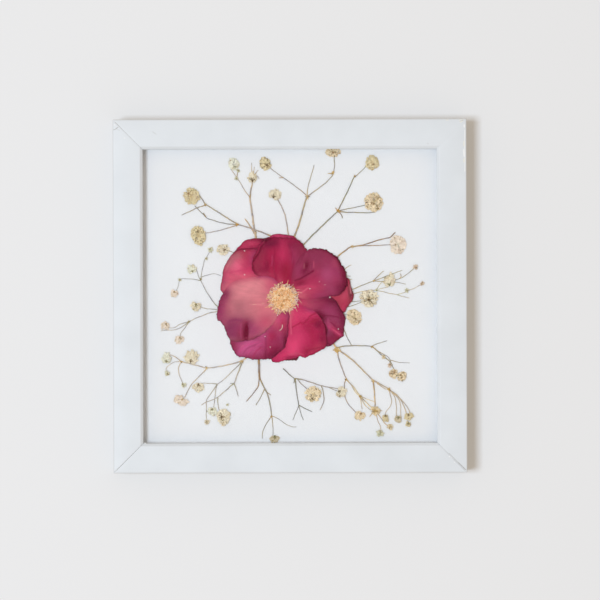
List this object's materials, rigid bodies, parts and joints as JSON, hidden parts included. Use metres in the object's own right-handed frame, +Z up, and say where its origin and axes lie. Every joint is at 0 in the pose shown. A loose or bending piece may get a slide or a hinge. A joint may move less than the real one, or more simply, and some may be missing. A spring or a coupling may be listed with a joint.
{
  "type": "pressed flower frame",
  "caption": "Small square white frame with a pressed red rose and sprays of dried baby's breath on white card behind glass, hung from a sawtooth hanger.",
  "frame": {"origin": "point on the wall plane where the nail carries the sawtooth hanger, 64 mm above the middle of the picture", "axes": "+Z up, +X to the viewer's right, -Y out of the wall towards the viewer; the frame's back lies on the plane y = 0"},
  "size_m": [0.177, 0.018, 0.177],
  "materials": {
    "white_painted_moulding": "white satin paint over a wood moulding",
    "picture_glass": "clear float glass",
    "white_card": "smooth uncoated white card",
    "brown_hardboard": "smooth-faced brown hardboard",
    "bright_steel": "bright sheet steel",
    "brassed_steel": "brass-plated sheet",
    "pressed_rose_petal": "dry matte petal, dark red to plum",
    "dried_stamens": "dry tan and brown stamens",
    "dried_babys_breath": "dry straw-coloured stems and cream florets"
  },
  "bodies": {
    "root": {"backing_board": "brown_hardboard", "backing_card": "white_card", "floret_lower_left": "dried_babys_breath", "floret_right": "dried_babys_breath", "floret_upper_left": "dried_babys_breath", "frame_rail_bottom": "white_painted_moulding", "frame_rail_left": "white_painted_moulding", "frame_rail_right": "white_painted_moulding", "frame_rail_top": "white_painted_moulding", "glass_pane": "picture_glass", "hanger_rivet_left": "brassed_steel", "hanger_rivet_right": "brassed_steel", "retaining_tab_bottom_left": "bright_steel", "retaining_tab_bottom_right": "bright_steel", "retaining_tab_top_left": "bright_steel", "retaining_tab_top_right": "bright_steel", "rose_petal_bottom": "pressed_rose_petal", "rose_petal_left": "pressed_rose_petal", "rose_petal_left_back": "pressed_rose_petal", "rose_petal_lower_back": "pressed_rose_petal", "rose_petal_lower_left": "pressed_rose_petal", "rose_petal_lower_right": "pressed_rose_petal", "rose_petal_right_back": "pressed_rose_petal", "rose_petal_top": "pressed_rose_petal", "rose_petal_upper_back": "pressed_rose_petal", "rose_petal_upper_left": "pressed_rose_petal", "rose_petal_upper_right": "pressed_rose_petal", "rose_stamens": "dried_stamens", "sawtooth_hanger": "brassed_steel", "spray_a_lower": "dried_babys_breath", "spray_a_middle": "dried_babys_breath", "spray_a_upper": "dried_babys_breath", "spray_b_left": "dried_babys_breath", "spray_b_right": "dried_babys_breath", "spray_b_stem": "dried_babys_breath", "spray_c": "dried_babys_breath", "spray_d_left": "dried_babys_breath", "spray_d_stem": "dried_babys_breath", "spray_e_right": "dried_babys_breath", "spray_e_upper": "dried_babys_breath", "spray_f": "dried_babys_breath", "spray_g_floret": "dried_babys_breath", "spray_g_lower": "dried_babys_breath", "spray_g_upper": "dried_babys_breath", "spray_h_cluster": "dried_babys_breath", "spray_h_down": "dried_babys_breath", "spray_h_fan": "dried_babys_breath", "spray_h_inner": "dried_babys_breath", "spray_h_right": "dried_babys_breath", "spray_i_right": "dried_babys_breath", "spray_i_stem": "dried_babys_breath", "spray_j_stem": "dried_babys_breath", "spray_j_tip": "dried_babys_breath", "spray_k_down": "dried_babys_breath", "spray_k_left": "dried_babys_breath", "spray_k_middle": "dried_babys_breath", "spray_l": "dried_babys_breath", "spray_m": "dried_babys_breath"}
  },
  "joints": []
}
